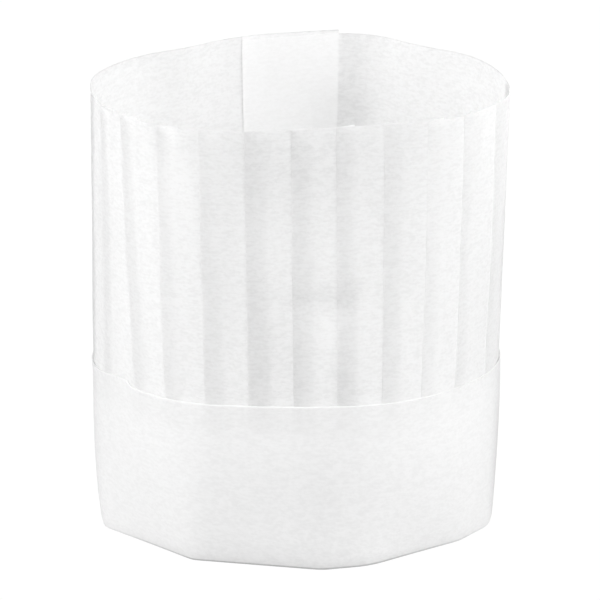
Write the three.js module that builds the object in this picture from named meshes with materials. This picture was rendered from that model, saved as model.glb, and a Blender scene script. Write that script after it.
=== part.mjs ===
import * as THREE from 'three';

// A disposable chef hat that stands on its hem: a plain band, and a tall crown that rises from
// inside the band, open at the top, with knife pleats in front and at the sides and lapped plain
// ends at the back. Millimetres, +Z up, the front at -Y.

// Heights above the surface that the hat stands on
const rimHeight = 225; // at the front
const rimRise = 3; // the rim climbs this much from front to back
const rimSpan = 210; // front to back
const bandHeight = 84;
const tuckDepth = 14; // foot of the crown hidden behind the band
const footHeight = bandHeight - tuckDepth;

// Cloth
const wall = 1;
const gap = 0.3; // between layers, and between the band and the crown
const layerStep = wall + gap;

// Pleats of the crown, measured along the outside from the middle of the front
const foldDepth = 10; // cloth doubled under on the right of each pleat's edge
const foldRelease = 1; // past the inner fold, where the outer layer starts to sink
const foldApproach = 1.5; // ahead of the next edge, where it has sunk all the way
const lastPanel = 20; // over which the cloth sinks after the last pleat
const plainSteps = 19; // straight pieces of the plain cloth on either side of the lap
const outerEnd = -348;
const innerEnd = 354;
const lapStart = -296; // the outer end lies over the inner one back to here
const lapEnd = 302;
const lapRamp = 45;
const lapClearance = 0.6;
const lapLift = (wall + lapClearance) / 2;
const crownLevels = [0, 0.35, 0.7, 1]; // shares of the way from the band to the rim

// The band, with shares of the way round measured from the back
const bandLap = 0.018; // each end past the middle of the back
const bulgeFull = 0.06; // out to here it bulges over the crown's lapped ends
const bulgeEnd = 0.12;
const bandSteps = 5; // straight pieces for each corner of the section
const bandLevels = [0, 7, 16, 28, 44, 64, bandHeight];

// Corners of the hat's outside seen from above: the angle runs from the front towards +X, and hem,
// line and rim are the corner's radius at the hem, at the top of the band and at the rim. A corner
// is rounded off to the middle of its sides, except where crease holds it sharp at the hem.
const corners = [
  { angle: -180, hem: 103, line: 107, rim: 94, crease: 0 },
  { angle: -160, hem: 102, line: 104, rim: 95, crease: 0 },
  { angle: -140, hem: 102, line: 103, rim: 86, crease: 0.4 },
  { angle: -120, hem: 102, line: 105, rim: 95, crease: 0 },
  { angle: -96, hem: 103, line: 106, rim: 105, crease: 0 },
  { angle: -75, hem: 102, line: 108, rim: 109, crease: 0.7 },
  { angle: -54, hem: 94, line: 108, rim: 119, crease: 0 },
  { angle: -32, hem: 101, line: 114, rim: 123, crease: 0.8 },
  { angle: -12, hem: 97, line: 106, rim: 115, crease: 0 },
  { angle: 6, hem: 104, line: 105, rim: 104, crease: 0.7 },
  { angle: 20, hem: 102, line: 108, rim: 103, crease: 0.4 },
  { angle: 38, hem: 93, line: 107, rim: 113, crease: 0 },
  { angle: 57, hem: 95, line: 103, rim: 114, crease: 0.7 },
  { angle: 76, hem: 98, line: 103, rim: 110, crease: 0.6 },
  { angle: 98, hem: 100, line: 103, rim: 102, crease: 0 },
  { angle: 118, hem: 98, line: 102, rim: 100, crease: 0.3 },
  { angle: 140, hem: 100, line: 103, rim: 92, crease: 0 },
  { angle: 160, hem: 102, line: 104, rim: 103, crease: 0 },
];
const hemPull = 2.2; // power by which the hem's shape fades upwards in the band
const sectionSteps = 12; // samples for each corner where lengths are measured
const tangentStep = 0.02; // share of a corner either side of a point, for its direction

// Pleat edges from left to right, at the top of the band and at the rim
const pleats = [
  { line: -157, rim: -151 },
  { line: -127.5, rim: -123 },
  { line: -95.5, rim: -100.5 },
  { line: -71, rim: -74 },
  { line: -47.5, rim: -50.5 },
  { line: -25.5, rim: -27.5 },
  { line: -3, rim: -4.5 },
  { line: 18.5, rim: 18.5 },
  { line: 41.5, rim: 43 },
  { line: 64.5, rim: 65.5 },
  { line: 90, rim: 87 },
  { line: 122, rim: 116 },
  { line: 145, rim: 149 },
];

const mix = (from, to, share) => from + (to - from) * share;
const clamp01 = (value) => Math.min(1, Math.max(0, value));
const crownShare = (height) => (height - bandHeight) / (rimHeight - bandHeight);

// The rounded polygon of the hat's outside at one height, as a function of the corner's number,
// where whole numbers are the corners and halves the middles of the sides
function sectionAt(height) {
  const hemShare = Math.pow(clamp01(1 - height / bandHeight), hemPull);
  const rimShare = Math.max(0, crownShare(height));
  const points = corners.map(({ angle, hem, line, rim }) => {
    const radius = mix(mix(line, rim, rimShare), hem, hemShare);
    const turn = THREE.MathUtils.degToRad(angle);
    return new THREE.Vector2(radius * Math.sin(turn), -radius * Math.cos(turn));
  });
  return (place) => {
    const number = Math.round(place);
    const count = corners.length;
    const index = ((number % count) + count) % count;
    const corner = points[index];
    const before = points[(index + count - 1) % count];
    const after = points[(index + 1) % count];
    const round = 1 - corners[index].crease * hemShare;
    const start = corner.clone().lerp(before, round / 2);
    const end = corner.clone().lerp(after, round / 2);
    const share = place - number + 0.5;
    const bend = start.clone().lerp(corner, share);
    return bend.lerp(corner.clone().lerp(end, share), share);
  };
}

// Point and outward direction at a place on a section
function frameAt(section, place) {
  const along = section(place + tangentStep).sub(section(place - tangentStep)).normalize();
  return { point: section(place), outward: new THREE.Vector2(along.y, -along.x) };
}

// The same section as a function of the length along it, from the middle of the front towards +X
function measuredSection(height) {
  const section = sectionAt(height);
  const count = corners.length;
  const places = [0];
  const lengths = [0];
  let frontLength = 0;
  for (let i = 1; i <= count * sectionSteps; i++) {
    const place = i / sectionSteps;
    const point = section(place);
    const previous = section(places[i - 1]);
    lengths.push(lengths[i - 1] + point.distanceTo(previous));
    places.push(place);
    if (point.y < 0 && previous.x <= 0 && point.x > 0) {
      const share = previous.x / (previous.x - point.x);
      frontLength = mix(lengths[i - 1], lengths[i], share);
    }
  }
  const around = lengths[lengths.length - 1];
  return (length) => {
    const turns = Math.floor((length + frontLength) / around);
    const wanted = length + frontLength - turns * around;
    let i = 1;
    while (i < lengths.length - 1 && lengths[i] < wanted) i++;
    const share = (wanted - lengths[i - 1]) / (lengths[i] - lengths[i - 1]);
    return frameAt(section, mix(places[i - 1], places[i], share));
  };
}

// Height of the rim at a point of the plan
function rimAt(point) {
  return rimHeight + rimRise * clamp01(0.5 + point.y / rimSpan);
}

// Both faces of a sheet from its middle line. A line's point is a length along the section and a
// depth outwards, and the faces are mitred where the line turns.
function sheetFaces(line) {
  const points = line.map(({ length, depth }) => new THREE.Vector2(length, depth));
  const faces = { right: [], left: [] };
  points.forEach((point, i) => {
    const before = i > 0 ? point.clone().sub(points[i - 1]).normalize() : null;
    const after = i < points.length - 1 ? points[i + 1].clone().sub(point).normalize() : null;
    const tangent = (before ?? after).clone().add(after ?? before).normalize();
    const normal = new THREE.Vector2(tangent.y, -tangent.x);
    const reach = wall / 2 / normal.dot(new THREE.Vector2((after ?? before).y, -(after ?? before).x));
    faces.right.push(point.clone().addScaledVector(normal, reach));
    faces.left.push(point.clone().addScaledVector(normal, -reach));
  });
  return faces;
}

// Closes rings of equal size, one above the other, into a solid. Each ring runs along the sheet's
// inner face and back along its outer face.
function closedSheet(rings) {
  const size = rings[0].length;
  const half = size / 2;
  const index = [];
  for (let level = 0; level + 1 < rings.length; level++) {
    for (let i = 0; i < size; i++) {
      const a = level * size + i;
      const b = level * size + ((i + 1) % size);
      index.push(a, b + size, b, a, a + size, b + size);
    }
  }
  const top = (rings.length - 1) * size;
  for (let i = 0; i + 1 < half; i++) {
    const across = size - 1 - i;
    index.push(i, i + 1, across - 1, i, across - 1, across);
    index.push(top + i, top + across - 1, top + i + 1, top + i, top + across, top + across - 1);
  }
  const geometry = new THREE.BufferGeometry();
  geometry.setAttribute('position', new THREE.Float32BufferAttribute(rings.flat(2), 3));
  geometry.setIndex(index);
  geometry.computeVertexNormals();
  return geometry;
}

// Plain cloth from one length to another, without its first point
function plainCloth(from, to, depth) {
  return Array.from({ length: plainSteps }, (_, i) => {
    return { length: mix(from, to, (i + 1) / plainSteps), depth };
  });
}

// How far the crown lies outside or inside its even course, so that its two ends clear each other
function crownLift(length) {
  const outer = THREE.MathUtils.smoothstep(-length, -lapStart - lapRamp, -lapStart);
  const inner = THREE.MathUtils.smoothstep(length, lapEnd - lapRamp, lapEnd);
  return lapLift * (outer - inner);
}

// Middle line of the crown's cloth at one height
function crownLine(height) {
  const share = crownShare(height);
  const top = -wall / 2 - layerStep * clamp01(1 - share);
  const middle = top - layerStep;
  const base = middle - layerStep;
  const edges = pleats.map((row) => mix(row.line, row.rim, share));
  const line = [{ length: outerEnd, depth: base }];
  line.push(...plainCloth(outerEnd, edges[0] - foldApproach, base));
  edges.forEach((edge, i) => {
    const fold = edge + foldDepth;
    const next = i + 1 < edges.length ? edges[i + 1] - foldApproach : fold + lastPanel;
    line.push({ length: edge, depth: base });
    line.push({ length: fold, depth: base });
    line.push({ length: fold, depth: middle });
    line.push({ length: edge, depth: middle });
    line.push({ length: edge, depth: top });
    line.push({ length: fold, depth: top });
    line.push({ length: fold + foldRelease, depth: top });
    line.push({ length: next, depth: base });
  });
  line.push(...plainCloth(line[line.length - 1].length, innerEnd, base));
  return line;
}

function pleatedCrown() {
  const levels = [footHeight, ...crownLevels.map((share) => mix(bandHeight, rimHeight, share))];
  const rings = levels.map((height) => {
    const section = measuredSection(height);
    const place = ({ x: length, y: depth }) => {
      const { point, outward } = section(length);
      const rise = height === rimHeight ? rimAt(point) - rimHeight : 0;
      point.addScaledVector(outward, depth + crownLift(length));
      return [point.x, point.y, height + rise];
    };
    const { right, left } = sheetFaces(crownLine(height));
    return [...right.map(place), ...left.reverse().map(place)];
  });
  return closedSheet(rings);
}

// How far the band bulges over the crown's lapped ends, and its outer end over its inner one.
// Turns run from -0.5 at the back, where the outer end starts, to 0.5.
function bandLift(turns) {
  const fromBack = Math.abs(Math.abs(turns) - 0.5);
  const bulge = 1 - THREE.MathUtils.smoothstep(fromBack, bulgeFull, bulgeEnd);
  const overlap = 1 - THREE.MathUtils.smoothstep(turns + 0.5, bandLap, 3 * bandLap);
  return lapLift * bulge + layerStep * overlap;
}

function headband() {
  const count = corners.length;
  const steps = Math.round(count * bandSteps * (1 + 2 * bandLap));
  const rings = bandLevels.map((height) => {
    const section = sectionAt(height);
    const inner = [];
    const outer = [];
    for (let i = 0; i <= steps; i++) {
      const turns = mix(-0.5 - bandLap, 0.5 + bandLap, i / steps);
      const { point, outward } = frameAt(section, (turns + 0.5) * count);
      const lift = bandLift(turns);
      const far = point.clone().addScaledVector(outward, lift);
      const near = point.clone().addScaledVector(outward, lift - wall);
      outer.unshift([far.x, far.y, height]);
      inner.push([near.x, near.y, height]);
    }
    return [...inner, ...outer];
  });
  return closedSheet(rings);
}

const paper = { color: 0xf4f4f2, roughness: 0.92, metalness: 0, side: THREE.DoubleSide };
const hat = new THREE.Group();
const pieces = { pleated_crown: pleatedCrown(), headband: headband() };
for (const [name, geometry] of Object.entries(pieces)) {
  const mesh = new THREE.Mesh(geometry, new THREE.MeshStandardMaterial(paper));
  mesh.name = name;
  hat.add(mesh);
}

// The middle of the hat's box goes over the origin
const middle = new THREE.Box3().setFromObject(hat).getCenter(new THREE.Vector3());
hat.position.set(-middle.x, -middle.y, 0);

export default hat;
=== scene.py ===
import math
import bpy
import numpy as np
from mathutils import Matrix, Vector


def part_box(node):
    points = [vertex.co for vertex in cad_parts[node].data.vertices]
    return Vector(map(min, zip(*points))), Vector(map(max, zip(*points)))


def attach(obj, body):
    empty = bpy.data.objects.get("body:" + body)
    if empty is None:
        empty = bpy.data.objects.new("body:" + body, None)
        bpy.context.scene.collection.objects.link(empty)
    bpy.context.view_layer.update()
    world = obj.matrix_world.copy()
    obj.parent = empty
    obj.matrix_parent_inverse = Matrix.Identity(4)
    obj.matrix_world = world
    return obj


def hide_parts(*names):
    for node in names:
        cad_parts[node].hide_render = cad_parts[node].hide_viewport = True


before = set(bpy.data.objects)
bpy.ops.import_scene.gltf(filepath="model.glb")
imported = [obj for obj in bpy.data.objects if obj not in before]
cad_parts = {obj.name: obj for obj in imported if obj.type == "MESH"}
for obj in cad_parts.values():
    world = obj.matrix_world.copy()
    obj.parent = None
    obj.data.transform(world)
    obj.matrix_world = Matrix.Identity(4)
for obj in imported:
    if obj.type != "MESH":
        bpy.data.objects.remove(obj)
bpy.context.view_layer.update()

mm = 0.001

# The hat from above is a rounded polygon. The angle runs from the front (-Y) towards +X, and each
# corner has a radius in mm at the hem, at the band's top edge and at the rim. A corner is rounded
# off to the middle of its sides, except where crease keeps it sharp at the hem.
hatShape = {
    "angle": [-180, -160, -140, -120, -96, -75, -54, -32, -12, 6, 20, 38, 57, 76, 98, 118, 140, 160],
    "hem": [103, 102, 102, 102, 103, 102, 94, 101, 97, 104, 102, 93, 95, 98, 100, 98, 100, 102],
    "line": [107, 104, 103, 105, 106, 108, 108, 114, 106, 105, 108, 107, 103, 103, 103, 102, 103, 104],
    "rim": [94, 95, 86, 95, 105, 109, 119, 123, 115, 104, 103, 113, 114, 110, 102, 100, 92, 103],
    "crease": [0, 0, 0.4, 0, 0, 0.7, 0, 0.8, 0, 0.7, 0.4, 0, 0.7, 0.6, 0, 0.3, 0, 0],
    "hemPull": 2.2,  # power by which the hem's shape fades upwards
    "rimRise": 3,  # the rim is this much higher at the back than at the front
    "rimSpan": 210,  # from front to back, over which it climbs
    "samples": 40,  # for each corner, where lengths are measured
    "boxSamples": 2000,  # all round, where the widest place is looked for
    "tangentStep": 0.02,  # share of a corner, either way, that gives the direction
}

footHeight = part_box("pleated_crown")[0][2] / mm
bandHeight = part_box("headband")[1][2] / mm
rimHeight = 225
cornerCount = len(hatShape["angle"])


def smoothStep(value, low, high):
    share = np.clip((np.asarray(value, float) - low) / (high - low), 0, 1)
    return share * share * (3 - 2 * share)


def outlineAt(height, place):
    # Points of the outline at one height; whole numbers of place are corners, halves are sides
    hemShare = max(0.0, 1 - height / bandHeight) ** hatShape["hemPull"]
    rimShare = max(0.0, (height - bandHeight) / (rimHeight - bandHeight))
    angle = np.radians(hatShape["angle"])
    line, hem, rim = (np.array(hatShape[key], float) for key in ("line", "hem", "rim"))
    radius = line + (rim - line) * rimShare + (hem - line) * hemShare
    corners = np.stack([radius * np.sin(angle), -radius * np.cos(angle)], axis=-1)
    number = np.round(place).astype(int)
    index = number % cornerCount
    corner, before, after = corners[index], corners[index - 1], corners[(index + 1) % cornerCount]
    half = (1 - np.array(hatShape["crease"])[index] * hemShare)[:, None] / 2
    start, end = corner + (before - corner) * half, corner + (after - corner) * half
    share = (place - number + 0.5)[:, None]
    return (1 - share) ** 2 * start + 2 * share * (1 - share) * corner + share ** 2 * end


def outlineFrame(height, place):
    step = hatShape["tangentStep"]
    point = outlineAt(height, place)
    along = outlineAt(height, place + step) - outlineAt(height, place - step)
    along /= np.linalg.norm(along, axis=1)[:, None]
    return point, np.stack([along[:, 1], -along[:, 0]], axis=-1)


def measuredOutline(height):
    # The outline by its length in mm from the middle of the front, growing towards +X
    place = np.linspace(0, cornerCount, cornerCount * hatShape["samples"] + 1)
    point, outward = outlineFrame(height, place)
    length = np.concatenate([[0], np.cumsum(np.linalg.norm(np.diff(point, axis=0), axis=1))])
    front = np.flatnonzero((point[:-1, 0] <= 0) & (point[1:, 0] > 0) & (point[1:, 1] < 0))[0]
    share = point[front, 0] / (point[front, 0] - point[front + 1, 0])
    start = length[front] + share * (length[front + 1] - length[front])
    around = length[-1]

    def at(wanted):
        wanted = np.mod(wanted + start, around)
        columns = [np.interp(wanted, length, column) for column in (*point.T, *outward.T)]
        return np.stack(columns[:2], axis=-1), np.stack(columns[2:], axis=-1)
    return at, around


# The frame's origin lies under the middle of the box, and the outline's is its own
allRound = np.linspace(0, cornerCount, hatShape["boxSamples"])
ownLow = outlineAt(bandHeight, allRound)[:, 0].min(), outlineAt(rimHeight, allRound)[:, 1].min()
planShift = np.array([
    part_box("headband")[0][0] / mm - ownLow[0],
    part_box("pleated_crown")[0][1] / mm - ownLow[1],
])
print("hat outline ready, shifted by", planShift.round(2), "mm")


sheetLook = {
    "sharpAngle": 52,  # degrees, above which an edge isn't smoothed
    "facesApart": 40.0,  # in the fibres' noise, so that the two faces differ
}


def sheetSolid(name, inner, outer, cloth, painted):
    # A closed sheet from two grids of points in mm, inner and outer, each levels x columns x 3.
    # For the material, cloth has each point's place in the flat sheet, in mm, and painted how much
    # shade and light are painted on it.
    levels, columns = inner.shape[:2]
    ring = np.concatenate([inner, outer[:, ::-1]], axis=1)
    size = 2 * columns
    grid = np.arange(levels * size).reshape(levels, size)
    a, b = grid[:-1], np.roll(grid[:-1], -1, axis=1)
    c, d = np.roll(grid[1:], -1, axis=1), grid[1:]
    walls = np.stack([a, b, c, d], axis=-1).reshape(-1, 4)
    flip = np.arange(columns - 1)
    bottom = np.stack([grid[0, flip], grid[0, size - 1 - flip], grid[0, size - 2 - flip],
                       grid[0, flip + 1]], axis=-1)
    top = np.stack([grid[-1, flip], grid[-1, flip + 1], grid[-1, size - 2 - flip],
                    grid[-1, size - 1 - flip]], axis=-1)
    faces = np.concatenate([walls[:, ::-1], bottom[:, ::-1], top[:, ::-1]])
    points = ring.reshape(-1, 3).copy()
    points[:, :2] += planShift
    mesh = bpy.data.meshes.new(name)
    mesh.from_pydata((points * mm).tolist(), [], faces.tolist())
    side = np.repeat([0.0, sheetLook["facesApart"]], columns)[None, :, None].repeat(levels, axis=0)
    for title, values in (("clothPlace", cloth), ("paintedLightAndShade", painted)):
        both = np.concatenate([values, values[:, ::-1]], axis=1)
        both = np.concatenate([both, side], axis=2).reshape(-1, 3)
        spot = mesh.attributes.new(title, "FLOAT_VECTOR", "POINT")
        spot.data.foreach_set("vector", both.astype(np.float32).ravel())
    mesh.shade_smooth()
    mesh.set_sharp_from_angle(angle=math.radians(sheetLook["sharpAngle"]))
    piece = bpy.data.objects.new(name, mesh)
    bpy.context.collection.objects.link(piece)
    print(name, len(mesh.vertices), "points,", len(mesh.polygons) * 2, "triangles")
    return piece


# Knife pleats: every fold edge is a length in mm from the middle of the front, at the top of the
# band and at the rim. The cloth folds under to the right of an edge, back, and under the next.
crown = {
    "pleatsAtBand": [-157, -127.5, -95.5, -71, -47.5, -25.5, -3, 18.5, 41.5, 64.5, 90, 122, 145],
    "pleatsAtRim": [-151, -123, -100.5, -74, -50.5, -27.5, -4.5, 18.5, 43, 65.5, 87, 116, 149],
    "outerEnd": (-345.8, -349.8),  # at the band and at the rim
    "innerEnd": (348.2, 355.8),
    "plainColumns": (14, 36, 36, 14),  # outer layer of the lap, to the pleats, after them, inner layer
    "underColumns": 5,  # across each layer under a fold, and across a panel
    "panelColumns": 8,
    "overShares": [0, 0.04, 0.3, 0.65, 1],  # across the top layer, close together at the fold's edge
    "foldTurns": [-45, 0, 45],  # degrees round a fold
    "lap": (-296, 302),  # beyond these lengths the ends lie over each other
    "lapRamp": 45,  # over which they part, and how far each one moves
    "lapLift": 0.3,
    "thickness": 0.11,
    "outerSlack": 0.01,  # points up to so far under the plain cloth take the buckles' painted shade
    "foldDepth": 10.5,  # of the doubled cloth behind a fold's edge
    "foldStray": 0.8,  # how much the doubled cloth varies from pleat to pleat
    "layerAtFoot": 0.13,  # from one layer's middle to the next
    "layerAtRim": 0.14,
    "springAtFoot": 1.6,  # how far the inner fold stands off the panel over it
    "springAtRim": 3.0,
    "springShares": {0: 0, 12: 0.3},  # of pleats whose inner fold lies closer
    "panelSink": (-0.15, 1.05),  # shares of a panel over which it sinks towards the next fold
    "lastPanel": 22,  # over which the cloth sinks after the last pleat
    "outerRise": 1.8,  # how far the outer end climbs at the rim, and the inner one sinks
    "innerSink": 2.4,
    "risePower": 2,  # by which both grow upwards
    "levels": 56,
    "nearRim": [1.6, 0.9, 0.4, 0],  # further levels, in mm below the rim
    "inset": 0.75,  # from the band's outside to the crown's, at the band
    "insetPower": 3,  # by which it fades upwards
    "straySeed": 7,
    "ripple": {"seed": 11, "count": 9, "longest": 120, "shortest": 40},
    "rippleDeep": 0.3,
    "rippleFull": 0.3,  # share of the way up where it is full
    "besideEnd": [-3, -1.6, -0.8, -0.2, 0.15, 0.5, 0.9, 1.6, 3],  # points close to the free ends
    # painted light and shade on the doubled cloth: each pleat's is a little lighter or darker, and some
    # of it is painted darker near the rim
    "stripShade": [0, -0.035, -0.015, -0.025, -0.03, 0, -0.012, -0.015, -0.015, -0.035, -0.005, 0, 0],
    "stripRimShade": [0, 0, 0, 0, 0, 0.02, 0.03, 0.02, 0.02, 0, 0, 0, 0],
    "stripRimTall": 45,  # height of that part
    "stripSlope": 0.014,  # painted shade at the fold's edge, fading to painted light at its far side
    "edgeLight": [0, 0, 0, 0, 0, 0, 0, 0, 0, 0.04, 0.07, 0.07, 0.07],  # painted light along a fold's edge
    "edgePart": 0.03,  # share of the doubled cloth's width that it takes
    "footLight": 0.05,  # painted light just above the band, where the band's edge shades the crown, up to footTall
    "footTall": 4,
}


def crownCourse(share, stray, around):
    # The cloth's way round at one height: lengths along the outline, depths outwards and the
    # lengths in the flat sheet. share runs from 0 at the foot to 1 at the rim.
    height = footHeight + (rimHeight - footHeight) * share
    up = (height - bandHeight) / (rimHeight - bandHeight)
    edges = np.array(crown["pleatsAtBand"]) * (1 - up) + np.array(crown["pleatsAtRim"]) * up
    depth = crown["foldDepth"] + stray
    step = crown["layerAtFoot"] + (crown["layerAtRim"] - crown["layerAtFoot"]) * share
    spring = crown["springAtFoot"] + (crown["springAtRim"] - crown["springAtFoot"]) * share
    roll = step / 2
    base = -2 * step
    springs = [spring * crown["springShares"].get(i, 1) for i in range(len(edges))]
    turn = np.radians(crown["foldTurns"])
    under, over = np.linspace(0, 1, crown["underColumns"]), np.array(crown["overShares"])
    panel = np.linspace(0, 1, crown["panelColumns"])[1:-1]
    outerEnd, innerEnd = (low + (high - low) * up for low, high in (crown["outerEnd"], crown["innerEnd"]))
    beside = innerEnd - around + np.array(crown["besideEnd"])
    outerLap, leftColumns, rightColumns, innerLap = crown["plainColumns"]
    length = list(np.linspace(outerEnd, beside[0], outerLap)[:-1]) + list(beside)
    length += list(np.linspace(beside[-1], edges[0], leftColumns)[1:-1])
    out = [base] * len(length)
    strips = []
    for i, edge in enumerate(edges):
        fold = edge + depth[i]
        strips.append(len(length))
        # under the fold, round the inner fold, back, round the outer one and over the fold
        length += list(edge + under * (depth[i] - roll))
        out += list(base - springs[i] * under)
        length += list(fold - roll + roll * np.cos(turn))
        out += list(base + roll - springs[i] + roll * np.sin(turn))
        length += list(fold - roll - under * (depth[i] - 2 * roll))
        out += list(-step - springs[i] * (1 - under))
        length += list(edge + roll - roll * np.cos(turn))
        out += list(-roll + roll * np.sin(turn))
        length += list(edge + roll + over * (depth[i] - roll))
        out += list(0 * over)
        strips.append(len(length))
        # the panel sinks towards the next fold
        end = edges[i + 1] if i + 1 < len(edges) else fold + crown["lastPanel"]
        length += list(fold + (end - fold) * panel)
        out += list(base * smoothStep(panel, *crown["panelSink"]))
    beside = outerEnd + around + np.array(crown["besideEnd"])
    rest = list(np.linspace(length[-1], beside[0], rightColumns)[1:-1]) + list(beside)
    rest += list(np.linspace(beside[-1], innerEnd + crown["besideEnd"][0], innerLap)[1:])
    # the points before the inner end, and the end itself
    rest += [innerEnd + aside for aside in crown["besideEnd"][1:4]] + [innerEnd]
    length, out = np.array(length + rest), np.array(out + [base] * len(rest))
    sheet = np.concatenate([[0], np.cumsum(np.hypot(np.diff(length), np.diff(out)))])
    return length, out, sheet, np.reshape(strips, (-1, 2))


# Places where the cloth is pushed in or out of its even shape, and where shade or light is painted
# on it: painted shade over the dents and at the sides where the cloth turns away, and painted light
# or shade elsewhere. around is the length from the middle of the front, up the height, wide and
# tall the reach either way.
bucklesAndShade = [
    {"around": 2, "up": 139, "wide": 26, "tall": 7, "push": -0.4, "shade": 0.05},
    {"around": 24, "up": 140, "wide": 8, "tall": 6, "push": -0.4, "shade": 0.05},
    {"around": 12, "up": 122, "wide": 12, "tall": 10, "push": 0.5, "shade": -0.05},
    {"around": -18, "up": 168, "wide": 8, "tall": 12, "push": 0.3, "shade": -0.04},
    {"around": 3, "up": 202, "wide": 28, "tall": 18, "push": -0.3, "shade": 0.05},
    {"around": -8, "up": 100, "wide": 14, "tall": 16, "push": -0.3, "shade": 0.05},
    {"around": 22, "up": 92, "wide": 8, "tall": 14, "push": -0.3, "shade": 0.06},
    {"around": -38, "up": 150, "wide": 9, "tall": 70, "push": 0, "shade": 0.03},
    {"around": 12, "up": 139, "wide": 7, "tall": 7, "push": 0, "shade": 0.05},
    {"around": -12, "up": 118, "wide": 9, "tall": 16, "push": 0, "shade": 0.05},
    {"around": 22, "up": 205, "wide": 10, "tall": 30, "push": 0, "shade": 0.02},
    {"around": -59, "up": 205, "wide": 9, "tall": 34, "push": 0, "shade": -0.05},
    {"around": -300, "up": 195, "wide": 12, "tall": 60, "push": 0, "shade": -0.05},
    {"around": -166, "up": 150, "wide": 24, "tall": 130, "push": 0, "shade": 0.08},
    {"around": 166, "up": 110, "wide": 9, "tall": 85, "push": 0, "shade": 0.1},
    {"around": -125, "up": 150, "wide": 18, "tall": 100, "push": 0, "shade": 0.04},
    {"around": -90, "up": 223, "wide": 42, "tall": 13, "push": 0, "shade": 0.05},
    {"around": 172, "up": 216, "wide": 5, "tall": 14, "push": 0, "shade": -0.15},
]


def buckleSum(rows, key, length, height, around):
    total = np.zeros_like(length)
    for row in rows:
        aside = np.mod(length - row["around"] + around / 2, around) - around / 2
        reach = (aside / row["wide"]) ** 2 + ((height - row["up"]) / row["tall"]) ** 2
        total += row[key] * np.exp(-reach)
    return total


# Inside at the back a shadow is painted just beyond the outer end, and a little of it through the
# lap, too. A painted shadow line runs beside the inner end, and painted light makes the lap, the
# inner end's edge and the outer end's top paler. Heights are above the table, and widths are
# measured from the outer end.
lapShading = {
    "hazeShade": 0.015,  # the faint upper part of the painted shadow
    "hazeWide": (12, 18),
    "shadowTop": 213,  # height where the dark part begins, and by which it is full
    "shadowFull": 186,
    "shadowLevel": 0.12,
    "shadowWide": (12, 24),  # at its top and where it is full
    "shadowFlat": 0.45,  # share of its width that is evenly dark
    "through": 0.4,  # share of it painted through the lap, and how far
    "throughWide": 24,
    "lineShade": 0.24,
    "lineHalf": 0.25,  # half the line's width, and how far beyond the inner end its middle runs
    "pale": 0.95,
    "paleSoft": 0.5,  # half the width over which it starts
    "edgePale": 1.0,
    "edgeWide": (2.4, 0.6),  # from the inner end, where its painted highlight starts and where it is full
    "stripTall": (7, 3),  # below the rim, the same for the outer end's top, which stands clear
    "stripPale": 0.5,
}

# Painted light on the pleats towards the sides, and a painted shade line along the back's rim
sideShading = {
    "pale": 0.26,
    "paleRise": (40, 100),  # lengths between which it grows, and between which it ends
    "paleFall": (130, 160),
    "rimShade": 0.25,
    "rimRise": (150, 166),  # lengths between which it grows, and between which it fades
    "rimFall": (200, 280),
    "rimBack": 0.5,  # share of it that is left at the back
    "rimTall": 0.9,
}


def crownShading(length, out, height, around):
    # How much shade and light are painted on the cloth
    row, side = lapShading, sideShading
    past = length[0] + around - length  # from the outer end, over the inner layer
    innerEnd = length[-1]
    aside = np.abs(length)
    soft, stripTall = row["paleSoft"], row["stripTall"]
    # a painted shadow beyond the outer end, and a little of it painted through the lap
    down = float(smoothStep(height, row["shadowTop"], row["shadowFull"]))
    wide = row["shadowWide"][0] + (row["shadowWide"][1] - row["shadowWide"][0]) * down
    paintedShadow = row["shadowLevel"] * down * (1 - smoothStep(past, wide * row["shadowFlat"], wide))
    paintedShadow = paintedShadow + row["hazeShade"] * (1 - smoothStep(past, *row["hazeWide"]))
    seen = row["through"] * smoothStep(past, -row["throughWide"], 0) * down
    shade = paintedShadow * np.where(past > 0, 1, seen) * (length > 0)
    # a painted shadow line beside the inner end
    shade = shade + row["lineShade"] * np.exp(-((length - innerEnd + around) / row["lineHalf"] - 1) ** 2)
    # painted light just above the band
    foot = 1 - float(smoothStep(height, bandHeight, bandHeight + crown["footTall"]))
    shade = shade - crown["footLight"] * foot
    outside = out >= out[0] - crown["outerSlack"]
    overInner = smoothStep(-past, -soft, soft) * (length > 0)
    # painted shade and painted light of the buckles table, on the top layer
    shade = shade + outside * (1 - overInner) * buckleSum(bucklesAndShade, "shade", length, height, around)
    # a painted shade line along the rim at the sides and back
    rimLine = smoothStep(height, rimHeight - side["rimTall"], rimHeight)
    overOuter = smoothStep(innerEnd - around - length, -soft, soft) * (length < 0)
    rimShare = 1 - (1 - side["rimBack"]) * smoothStep(aside, *side["rimFall"])
    rimLine = rimLine * smoothStep(aside, *side["rimRise"]) * (1 - overInner)
    shade = shade + side["rimShade"] * rimLine * rimShare
    strip = float(smoothStep(height, rimHeight - stripTall[0], rimHeight - stripTall[1]))
    sides = smoothStep(aside, *side["paleRise"]) * (1 - smoothStep(aside, *side["paleFall"]))
    # painted light on the lap, on the outer end's top and on the side pleats, and a painted highlight at
    # the inner end's edge
    pale = row["pale"] * overInner + row["stripPale"] * overOuter * strip + side["pale"] * sides
    edge = smoothStep(length - innerEnd, -row["edgeWide"][0], -row["edgeWide"][1])
    return np.column_stack([shade, np.maximum(pale, row["edgePale"] * edge)])


def looseWaves(seed, count, longest, shortest):
    # A smooth random ripple over length and height, in mm, of about 1 either way. Its waves are
    # twice as long up the hat as round it.
    random = np.random.default_rng(seed)
    across = 2 * np.pi / random.uniform(shortest, longest, count) * random.choice([-1, 1], count)
    up = 2 * np.pi / random.uniform(shortest * 2, longest * 2, count)
    phase = random.uniform(0, 2 * np.pi, count)

    def at(length, height):
        total = sum(np.sin(a * length + u * height + p) for a, u, p in zip(across, up, phase))
        return total / math.sqrt(count)
    return at


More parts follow.
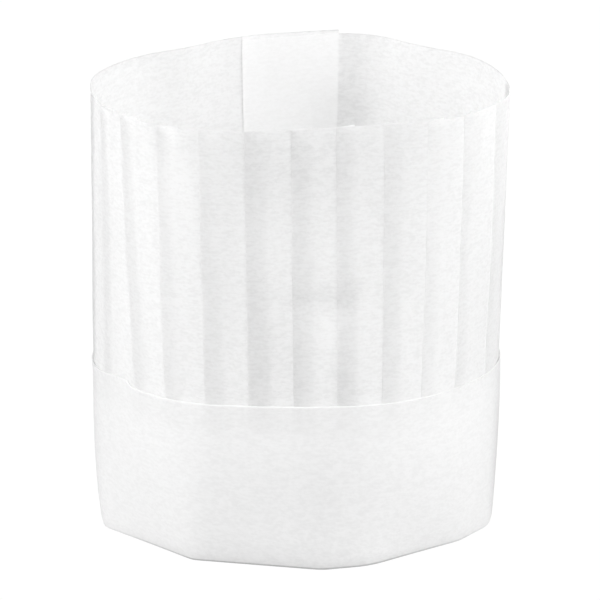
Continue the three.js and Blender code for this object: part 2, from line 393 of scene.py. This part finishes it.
def makeCrown():
    random = np.random.default_rng(crown["straySeed"])
    count = len(crown["pleatsAtBand"])
    stray = random.uniform(-1, 1, (2, count)) * crown["foldStray"]
    ripple = looseWaves(**crown["ripple"])
    inner, outer, cloth, painted = [], [], [], []
    tall = rimHeight - footHeight
    for share in [*np.linspace(0, 1, crown["levels"])[:-1], *(1 - np.array(crown["nearRim"]) / tall)]:
        height = footHeight + tall * share
        outline, around = measuredOutline(height)
        length, out, sheet, strips = crownCourse(share, stray[0] * (1 - share) + stray[1] * share, around)
        past = np.stack([np.gradient(length), np.gradient(out)], axis=-1)
        past /= np.linalg.norm(past, axis=1)[:, None]
        half = crown["thickness"] / 2 * np.stack([past[:, 1], -past[:, 0]], axis=-1)
        # the two free ends part from each other, and the whole crown clears the band
        ends = [smoothStep(-length, -crown["lap"][0] - crown["lapRamp"], -crown["lap"][0]),
                smoothStep(length, crown["lap"][1] - crown["lapRamp"], crown["lap"][1])]
        up = np.clip((height - bandHeight) / (rimHeight - bandHeight), 0, 1)
        even = crown["lapLift"] * (ends[0] - ends[1]) - crown["inset"] * (1 - up) ** crown["insetPower"]
        waves = crown["rippleDeep"] * smoothStep(up, 0, crown["rippleFull"]) * ripple(length, height)
        even = even + waves * (1 - ends[0] - ends[1])
        push = buckleSum(bucklesAndShade, "push", length, height, around)
        middle, _ = outline(length)
        rise = hatShape["rimRise"] * np.clip(0.5 + middle[:, 1] / hatShape["rimSpan"], 0, 1)
        lapLength = length[-1] - length[0] - around
        climb = np.clip(1 - (length - length[0]) / lapLength, 0, 1)
        sink = np.clip(1 - (length[-1] - length) / lapLength, 0, 1)
        lift = rise + crown["outerRise"] * climb - crown["innerSink"] * sink
        for sign, rows in ((1, inner), (-1, outer)):
            along, outwards = length + sign * half[:, 0], out + sign * half[:, 1]
            point, outward = outline(along)
            point = point + outward * (outwards + even + push)[:, None]
            rows.append(np.column_stack([point, height + lift * share ** crown["risePower"]]))
        cloth.append(np.column_stack([sheet, np.full_like(sheet, height)]))
        shadeAndPale = crownShading(length, out, height, around)
        # painted light and shade on each pleat's doubled cloth
        rimPart = float(smoothStep(height, rimHeight - crown["stripRimTall"], rimHeight))
        for (start, stop), shade, rimShade, light in zip(
                strips, crown["stripShade"], crown["stripRimShade"], crown["edgeLight"]):
            strip = length[start:stop]
            across = (strip - strip.min()) / (strip.max() - strip.min())
            shade = shade + rimShade * rimPart + crown["stripSlope"] * (1 - 2 * across)
            shadeAndPale[start:stop, 0] += shade - light * (across < crown["edgePart"])
        painted.append(shadeAndPale)
    return sheetSolid("crownCloth", *map(np.array, (inner, outer, cloth, painted)))


# The band: a strip of doubled cloth with a rolled top edge, plainly lapped at the back
band = {
    "thickness": 0.5,
    "rollRadius": 0.36,  # of the folded top edge
    "rollHeight": 3.0,  # over which the band widens into it
    "lap": 0.018,  # each end past the middle of the back, as a share of the way round
    "bulge": (0.06, 0.12),  # from the back, where it lies over the crown's lap, and where it ends
    "bulgeOut": 0.6,
    "lapStep": 1.0,  # the outer end stands out by this, and the step fades over so many laps
    "stepLaps": 3,
    "ripple": {"seed": 23, "count": 7, "longest": 150, "shortest": 60},
    "rippleDeep": 0.25,
    "rippleFade": (15, 10),  # over which it fades to the hem and to the top edge
    "columns": 320,
    "levels": 34,  # of the plain part, which starts at plainFrom
    "plainFrom": 3,
    "rollLevels": 6,
    "rollTurns": [20, 40, 58, 72, 84],  # degrees up the rolled edge
    "hem": [0, 0.5, 1.0, 1.5, 2.2],  # rows close to the lower edge
    "hemLine": 1.1,  # height of the painted shadow line along it, and the height below which it is full
    "hemFull": 0.3,
    "hemShade": 0.45,
    "hemSoft": 6.0,  # height of the softer painted shade above it
    "softShade": 0.08,
    "hemReach": 118,  # of both to either side of the front, and how sharply they end there
    "hemPower": 4,
    "jogs": [  # stretches where the top edge stands higher: lengths, and the rise in mm
        {"start": -136, "full": -104, "end": -99, "done": -94, "rise": 2.8},
    ],
    "jogPower": 3,  # by which it grows upwards
    "foldTall": 0.8,  # below the rolled edge, where its painted highlight and shade start
    "foldPale": 0.45,  # painted highlight of the top edge, with the lengths over which it grows and fades
    "foldRise": (-112, -88),
    "foldFall": (-40, 100),
    "foldShade": 0.03,  # painted shade of the edge where that has faded
    "paintedShade": [  # painted shade: at the sides where the band turns away, near the hem and on the front, measured as the crown's buckles are
        {"around": 13, "up": 30, "wide": 9, "tall": 34, "shade": 0.03},
        {"around": 5, "up": 36, "wide": 55, "tall": 24, "shade": 0.025},
        {"around": -12, "up": 2, "wide": 45, "tall": 9, "shade": 0.06},
        {"around": -153, "up": 15, "wide": 13, "tall": 60, "shade": 0.15},
        {"around": 160, "up": 20, "wide": 18, "tall": 60, "shade": 0.27},
    ],
}


def makeBand():
    turns = np.linspace(-0.5 - band["lap"], 0.5 + band["lap"], band["columns"])
    place = (turns + 0.5) * cornerCount
    back = np.abs(np.abs(turns) - 0.5)
    lift = band["bulgeOut"] * (1 - smoothStep(back, *band["bulge"]))
    step = 1 - smoothStep(turns + 0.5, band["lap"], band["stepLaps"] * band["lap"])
    lift = lift + band["lapStep"] * step
    ripple = looseWaves(**band["ripple"])
    radius, half = band["rollRadius"], band["thickness"] / 2
    shoulder = bandHeight - radius
    rollStart = shoulder - band["rollHeight"]
    # rows up the band: height, and how far each face stands from the middle of the cloth
    plain = np.linspace(band["plainFrom"], rollStart, band["levels"])
    heights = [*band["hem"], *plain, *np.linspace(rollStart, shoulder, band["rollLevels"])[1:]]
    rows = [(height, half + (radius - half) * smoothStep(height, rollStart, shoulder))
            for height in heights]
    rows += [(shoulder + radius * math.sin(turn), radius * math.cos(turn))
             for turn in np.radians(band["rollTurns"])]
    fadeLow, fadeHigh = band["rippleFade"]
    inner, outer, cloth, painted = [], [], [], []
    for height, out in rows:
        point, outward = outlineFrame(height, place)
        sheet = np.concatenate([[0], np.cumsum(np.linalg.norm(np.diff(point, axis=0), axis=1))])
        fade = smoothStep(height, 0, fadeLow) * smoothStep(bandHeight - height, 0, fadeHigh)
        even = lift + band["rippleDeep"] * fade * ripple(sheet, height) - half
        length = sheet - sheet[-1] / 2
        jog = sum(row["rise"] * smoothStep(length, row["start"], row["full"])
                  * (1 - smoothStep(length, row["end"], row["done"])) for row in band["jogs"])
        raised = height + jog * (height / bandHeight) ** band["jogPower"]
        for depth, faces in ((-out, inner), (out, outer)):
            shifted = point + outward * (even + depth)[:, None]
            faces.append(np.column_stack([shifted, raised]))
        cloth.append(np.column_stack([sheet, np.full_like(sheet, height)]))
        # a painted shadow line along the hem at the front, and softer painted shade above it
        near = np.exp(-(length / band["hemReach"]) ** band["hemPower"])
        shade = band["hemShade"] * near * (1 - smoothStep(height, band["hemFull"], band["hemLine"]))
        shade = shade + band["softShade"] * near * (1 - smoothStep(height, 0, band["hemSoft"]))
        # painted shade spots on the band
        shade = shade + buckleSum(band["paintedShade"], "shade", length, height, sheet[-1])
        # a painted highlight on the rolled top edge, and painted shade where it has faded
        fold = float(smoothStep(height, shoulder - band["foldTall"], shoulder))
        pale = band["foldPale"] * fold * smoothStep(length, *band["foldRise"])
        pale = pale * (1 - smoothStep(length, *band["foldFall"]))
        shade = shade + band["foldShade"] * fold * smoothStep(length, *band["foldFall"])
        painted.append(np.column_stack([shade, pale]))
    return sheetSolid("bandCloth", *map(np.array, (inner, outer, cloth, painted)))


class Wire:
    # One output socket; sums and products with it add Math nodes
    def __init__(self, graph, socket):
        self.graph, self.socket = graph, socket

    def maths(self, operation, first, second):
        return self.graph.node("ShaderNodeMath", {"operation": operation}, {0: first, 1: second})

    def __add__(self, other):
        return self.maths("ADD", self, other)

    def __sub__(self, other):
        return self.maths("SUBTRACT", self, other)

    def __rsub__(self, other):
        return self.maths("SUBTRACT", other, self)

    def __mul__(self, other):
        return self.maths("MULTIPLY", self, other)

    __radd__ = __add__
    __rmul__ = __mul__


class Graph:
    def __init__(self, owner):
        owner.use_nodes = True
        self.tree = owner.node_tree
        self.tree.nodes.clear()

    def node(self, kind, settings=None, inputs=None, output=0):
        # Adds a node: its settings first, then the values or links of its sockets
        made = self.tree.nodes.new(kind)
        for key, value in (settings or {}).items():
            setattr(made, key, value)
        for key, value in (inputs or {}).items():
            if isinstance(value, Wire):
                self.tree.links.new(value.socket, made.inputs[key])
            else:
                made.inputs[key].default_value = value
        return Wire(self, made.outputs[output]) if len(made.outputs) else made


# The four noises fine, slant, clouds and broad each have their size across and up the flat sheet
# in mm, their detail and their start. The shift keeps the fibres of the two pieces apart.
paper = {
    "crown_paper": {
        "colours": ((0.838, 0.838, 0.838, 1), (1.0, 1.0, 1.0, 1)),  # darkest and lightest fibres
        "glow": 0.6,  # share of the light that each face of the cloth lets through
        "shift": 0,
    },
    "band_paper": {
        "colours": ((0.885, 0.885, 0.885, 1), (0.95, 0.95, 0.95, 1)),
        "glow": 0.22,
        "shift": 9,
    },
    "fine": (3.4, 1.3, 1.0, 3.1),
    "slant": (1.8, 1.7, 1.0, 17.3),
    "clouds": (7.0, 4.0, 2.0, 41.0),
    "broad": (38.0, 30.0, 2.0, 77.0),
    "noiseRough": 0.6,
    "startUp": 1.7,  # the start up the sheet is so many times the one across it
    "weaveMix": (0.6, 0.4),  # shares of fine and slant in the weave
    "spreadMix": (0.65, 0.35),  # shares of weave and clouds in the colour
    "spreadFrom": 0.42,  # noise of the darkest fibres and of the lightest
    "spreadTo": 0.58,
    "paleColour": (1.0, 1.0, 1.0, 1),
    "paleShare": 0.7,  # of that colour where the painted light is strongest
    "paleDense": 0.3,  # how much less light goes through where light is painted
    "roughness": 0.62,
    "roughStray": 0.12,
    "specular": 0.6,
    "fibreBump": 0.35,
    "bumpDeep": 0.00022,  # metres
    "bumpClouds": 0.7,
    "throughColour": (0.97, 0.97, 0.97, 1),
    "cloudGlow": 0.22,  # how much the light that goes through varies with each noise
    "weaveGlow": 0.26,
    "broadGlow": 0.06,
    "middle": 0.5,  # of every noise
}


def paperMaterial(slot):
    own, middle = paper[slot], paper["middle"]
    material = bpy.data.materials.new(slot.replace("_", " "))
    graph = Graph(material)
    spot = graph.node("ShaderNodeAttribute", {"attribute_name": "clothPlace"}, output="Vector")

    def fibres(acrossMm, upMm, detail, start):
        scale = (1 / acrossMm, 1 / upMm, 1)
        begin = (start + own["shift"], start * paper["startUp"], own["shift"])
        moved = graph.node("ShaderNodeVectorMath", {"operation": "MULTIPLY_ADD"},
                           {0: spot, 1: scale, 2: begin})
        return graph.node("ShaderNodeTexNoise", {"noise_dimensions": "3D"}, {
            "Vector": moved, "Scale": 1.0, "Detail": detail, "Roughness": paper["noiseRough"]})

    def blend(factor, first, second):
        return graph.node("ShaderNodeMix", {"data_type": "RGBA"}, {
            "Factor": factor, 6: first, 7: second}, output=2)

    fine, slant, clouds, broad = (fibres(*paper[key]) for key in ("fine", "slant", "clouds", "broad"))
    weave = fine * paper["weaveMix"][0] + slant * paper["weaveMix"][1]
    spread = graph.node("ShaderNodeMapRange", {}, {
        "Value": weave * paper["spreadMix"][0] + clouds * paper["spreadMix"][1],
        "From Min": paper["spreadFrom"], "From Max": paper["spreadTo"]})
    # painted shade and painted light, read from the cloth
    painted = graph.node("ShaderNodeAttribute", {"attribute_name": "paintedLightAndShade"}, output="Vector")
    shade = graph.node("ShaderNodeSeparateXYZ", {}, {0: painted}, output="X")
    pale = graph.node("ShaderNodeSeparateXYZ", {}, {0: painted}, output="Y")
    colour = blend(spread, *own["colours"])
    colour = blend(pale * paper["paleShare"], colour, paper["paleColour"])
    # a negative painted shade is painted light, but no further than white
    colour = graph.node("ShaderNodeVectorMath", {"operation": "SCALE"}, {0: colour, "Scale": 1 - shade})
    colour = graph.node("ShaderNodeVectorMath", {"operation": "MINIMUM"}, {0: colour, 1: (1, 1, 1)})
    bump = graph.node("ShaderNodeBump", {}, {
        "Strength": paper["fibreBump"], "Distance": paper["bumpDeep"],
        "Height": weave + clouds * paper["bumpClouds"]})
    cloth = graph.node("ShaderNodeBsdfPrincipled", {}, {
        "Base Color": colour, "Roughness": paper["roughness"] - paper["roughStray"] * (weave - middle),
        "Normal": bump, "Specular IOR Level": paper["specular"]})
    through = graph.node("ShaderNodeBsdfTranslucent", {}, {"Color": paper["throughColour"]})
    share = own["glow"] + paper["cloudGlow"] * (clouds - middle) + paper["weaveGlow"] * (weave - middle)
    share = share + paper["broadGlow"] * (broad - middle) - paper["paleDense"] * pale
    mixed = graph.node("ShaderNodeMixShader", {}, {0: share, 1: cloth, 2: through})
    graph.node("ShaderNodeOutputMaterial", {}, {"Surface": mixed})
    return material


crownPiece = makeCrown()
bandPiece = makeBand()
for piece, node, slot in ((crownPiece, "pleated_crown", "crown_paper"),
                          (bandPiece, "headband", "band_paper")):
    piece.data.materials.append(paperMaterial(slot))
    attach(piece, "root")
    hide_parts(node)
print("paper on both pieces")

# The floor is there for the camera alone: what lights the hat is the world, from below too, and the
# soft lights. Their angles are in degrees, from the front towards +X and upwards, their distance
# and size in metres, and their level is the light they give face on, where the world alone gives 1.
studio = {
    "floorSize": 12.0,
    "floorDrop": 0.0002,  # below the hem, in metres
    "floorGlow": 1.02,
    "floorRough": 0.9,
    "horizonHalf": 0.2,  # either side of the horizon and of the middle, over which the world changes
    "middleHalf": 0.4,
    "frontAbove": 0.15,  # light of the world above and below the horizon, in front and behind
    "frontBelow": 0.83,
    "backAbove": 0.15,
    "backBelow": 1.02,
    "lights": [
        {"name": "front light", "around": 0, "up": 30, "far": 1.6, "size": 0.9, "level": 0.21},
        {"name": "high front light", "around": 0, "up": 50, "far": 1.6, "size": 0.9, "level": 0.29},
        {"name": "back light", "around": 180, "up": 60, "far": 1.6, "size": 0.9, "level": 0.29},
        {"name": "left light", "around": -90, "up": 15, "far": 1.6, "size": 0.8, "level": 0.26},
        {"name": "right light", "around": 90, "up": 15, "far": 1.6, "size": 0.8, "level": 0.13},
        {"name": "high right light", "around": 90, "up": 45, "far": 1.6, "size": 0.8, "level": 0.34},
        {"name": "left front light", "around": -60, "up": 20, "far": 1.6, "size": 0.8, "level": 0.26},
        {"name": "right front light", "around": 60, "up": 20, "far": 1.6, "size": 0.8, "level": 0.22},
    ],
    "aim": (0, 0, 0.14),
}

floorMesh = bpy.data.meshes.new("floor")
reach = studio["floorSize"] / 2
floorMesh.from_pydata([(-reach, -reach, 0), (reach, -reach, 0), (reach, reach, 0), (-reach, reach, 0)],
                      [], [(0, 1, 2, 3)])
floor = bpy.data.objects.new("floor", floorMesh)
bpy.context.collection.objects.link(floor)
floor.location.z = -studio["floorDrop"]
floor.visible_diffuse = floor.visible_transmission = False
floor.visible_glossy = floor.visible_shadow = False
floorGraph = Graph(bpy.data.materials.new("studio floor"))
floorShader = floorGraph.node("ShaderNodeBsdfPrincipled", {}, {
    "Base Color": (0, 0, 0, 1), "Roughness": studio["floorRough"], "Specular IOR Level": 0.0,
    "Emission Color": (1, 1, 1, 1), "Emission Strength": studio["floorGlow"]})
floorGraph.node("ShaderNodeOutputMaterial", {}, {"Surface": floorShader})
floorMesh.materials.append(bpy.data.materials["studio floor"])

world = bpy.data.worlds.new("studio")
bpy.context.scene.world = world
sky = Graph(world)
skyWay = sky.node("ShaderNodeTexCoord", {}, {}, output="Generated")


def skyShare(axis, half):
    # Grows from 0 to 1 along one axis of the view's direction
    return sky.node("ShaderNodeMapRange", {"interpolation_type": "SMOOTHSTEP"}, {
        "Value": sky.node("ShaderNodeSeparateXYZ", {}, {0: skyWay}, output=axis),
        "From Min": -half, "From Max": half})


upShare, backShare = skyShare("Z", studio["horizonHalf"]), skyShare("Y", studio["middleHalf"])
front = studio["frontBelow"] + (studio["frontAbove"] - studio["frontBelow"]) * upShare
back = studio["backBelow"] + (studio["backAbove"] - studio["backBelow"]) * upShare
strength = front * (1 - backShare) + back * backShare
glowNode = sky.node("ShaderNodeBackground", {}, {"Color": (1, 1, 1, 1), "Strength": strength})
sky.node("ShaderNodeOutputWorld", {}, {"Surface": glowNode})

for row in studio["lights"]:
    lamp = bpy.data.lights.new(row["name"], "AREA")
    lamp.size, lamp.energy = row["size"], row["level"] * math.pi ** 2 * row["far"] ** 2
    holder = bpy.data.objects.new(row["name"], lamp)
    bpy.context.collection.objects.link(holder)
    around, up = math.radians(row["around"]), math.radians(row["up"])
    way = Vector((math.sin(around) * math.cos(up), -math.cos(around) * math.cos(up), math.sin(up)))
    holder.location = Vector(studio["aim"]) + way * row["far"]
    holder.rotation_euler = way.to_track_quat("Z", "Y").to_euler()

camera = {
    "lens": 500,  # a long lens from far off, so the sides hardly draw in
    "sensor": 36,
    "mmPerPixel": 0.502,  # at the hat, in a picture of so many pixels across
    "pixels": 600,
    "elevation": 14.6,
    "aim": (0, -19.5, 116.5),
    "reach": 50,  # metres that it sees
}
view = bpy.data.cameras.new("camera")
view.lens, view.sensor_width, view.clip_end = camera["lens"], camera["sensor"], camera["reach"]
eye = bpy.data.objects.new("camera", view)
bpy.context.collection.objects.link(eye)
aim = (Vector(camera["aim"]) + Vector((*planShift, 0))) * mm
distance = camera["mmPerPixel"] * mm * camera["pixels"] * camera["lens"] / camera["sensor"]
tilt = math.radians(camera["elevation"])
eye.location = aim + Vector((0, -math.cos(tilt), math.sin(tilt))) * distance
eye.rotation_euler = (aim - eye.location).to_track_quat("-Z", "Y").to_euler()
bpy.context.scene.camera = eye
bpy.context.scene.view_settings.view_transform = "Standard"
bounces = {"all": 24, "diffuse": 16, "through": 16}  # light crosses many layers of the cloth
cycles = bpy.context.scene.cycles
cycles.max_bounces, cycles.diffuse_bounces = bounces["all"], bounces["diffuse"]
cycles.transmission_bounces = bounces["through"]
print("light and camera set")
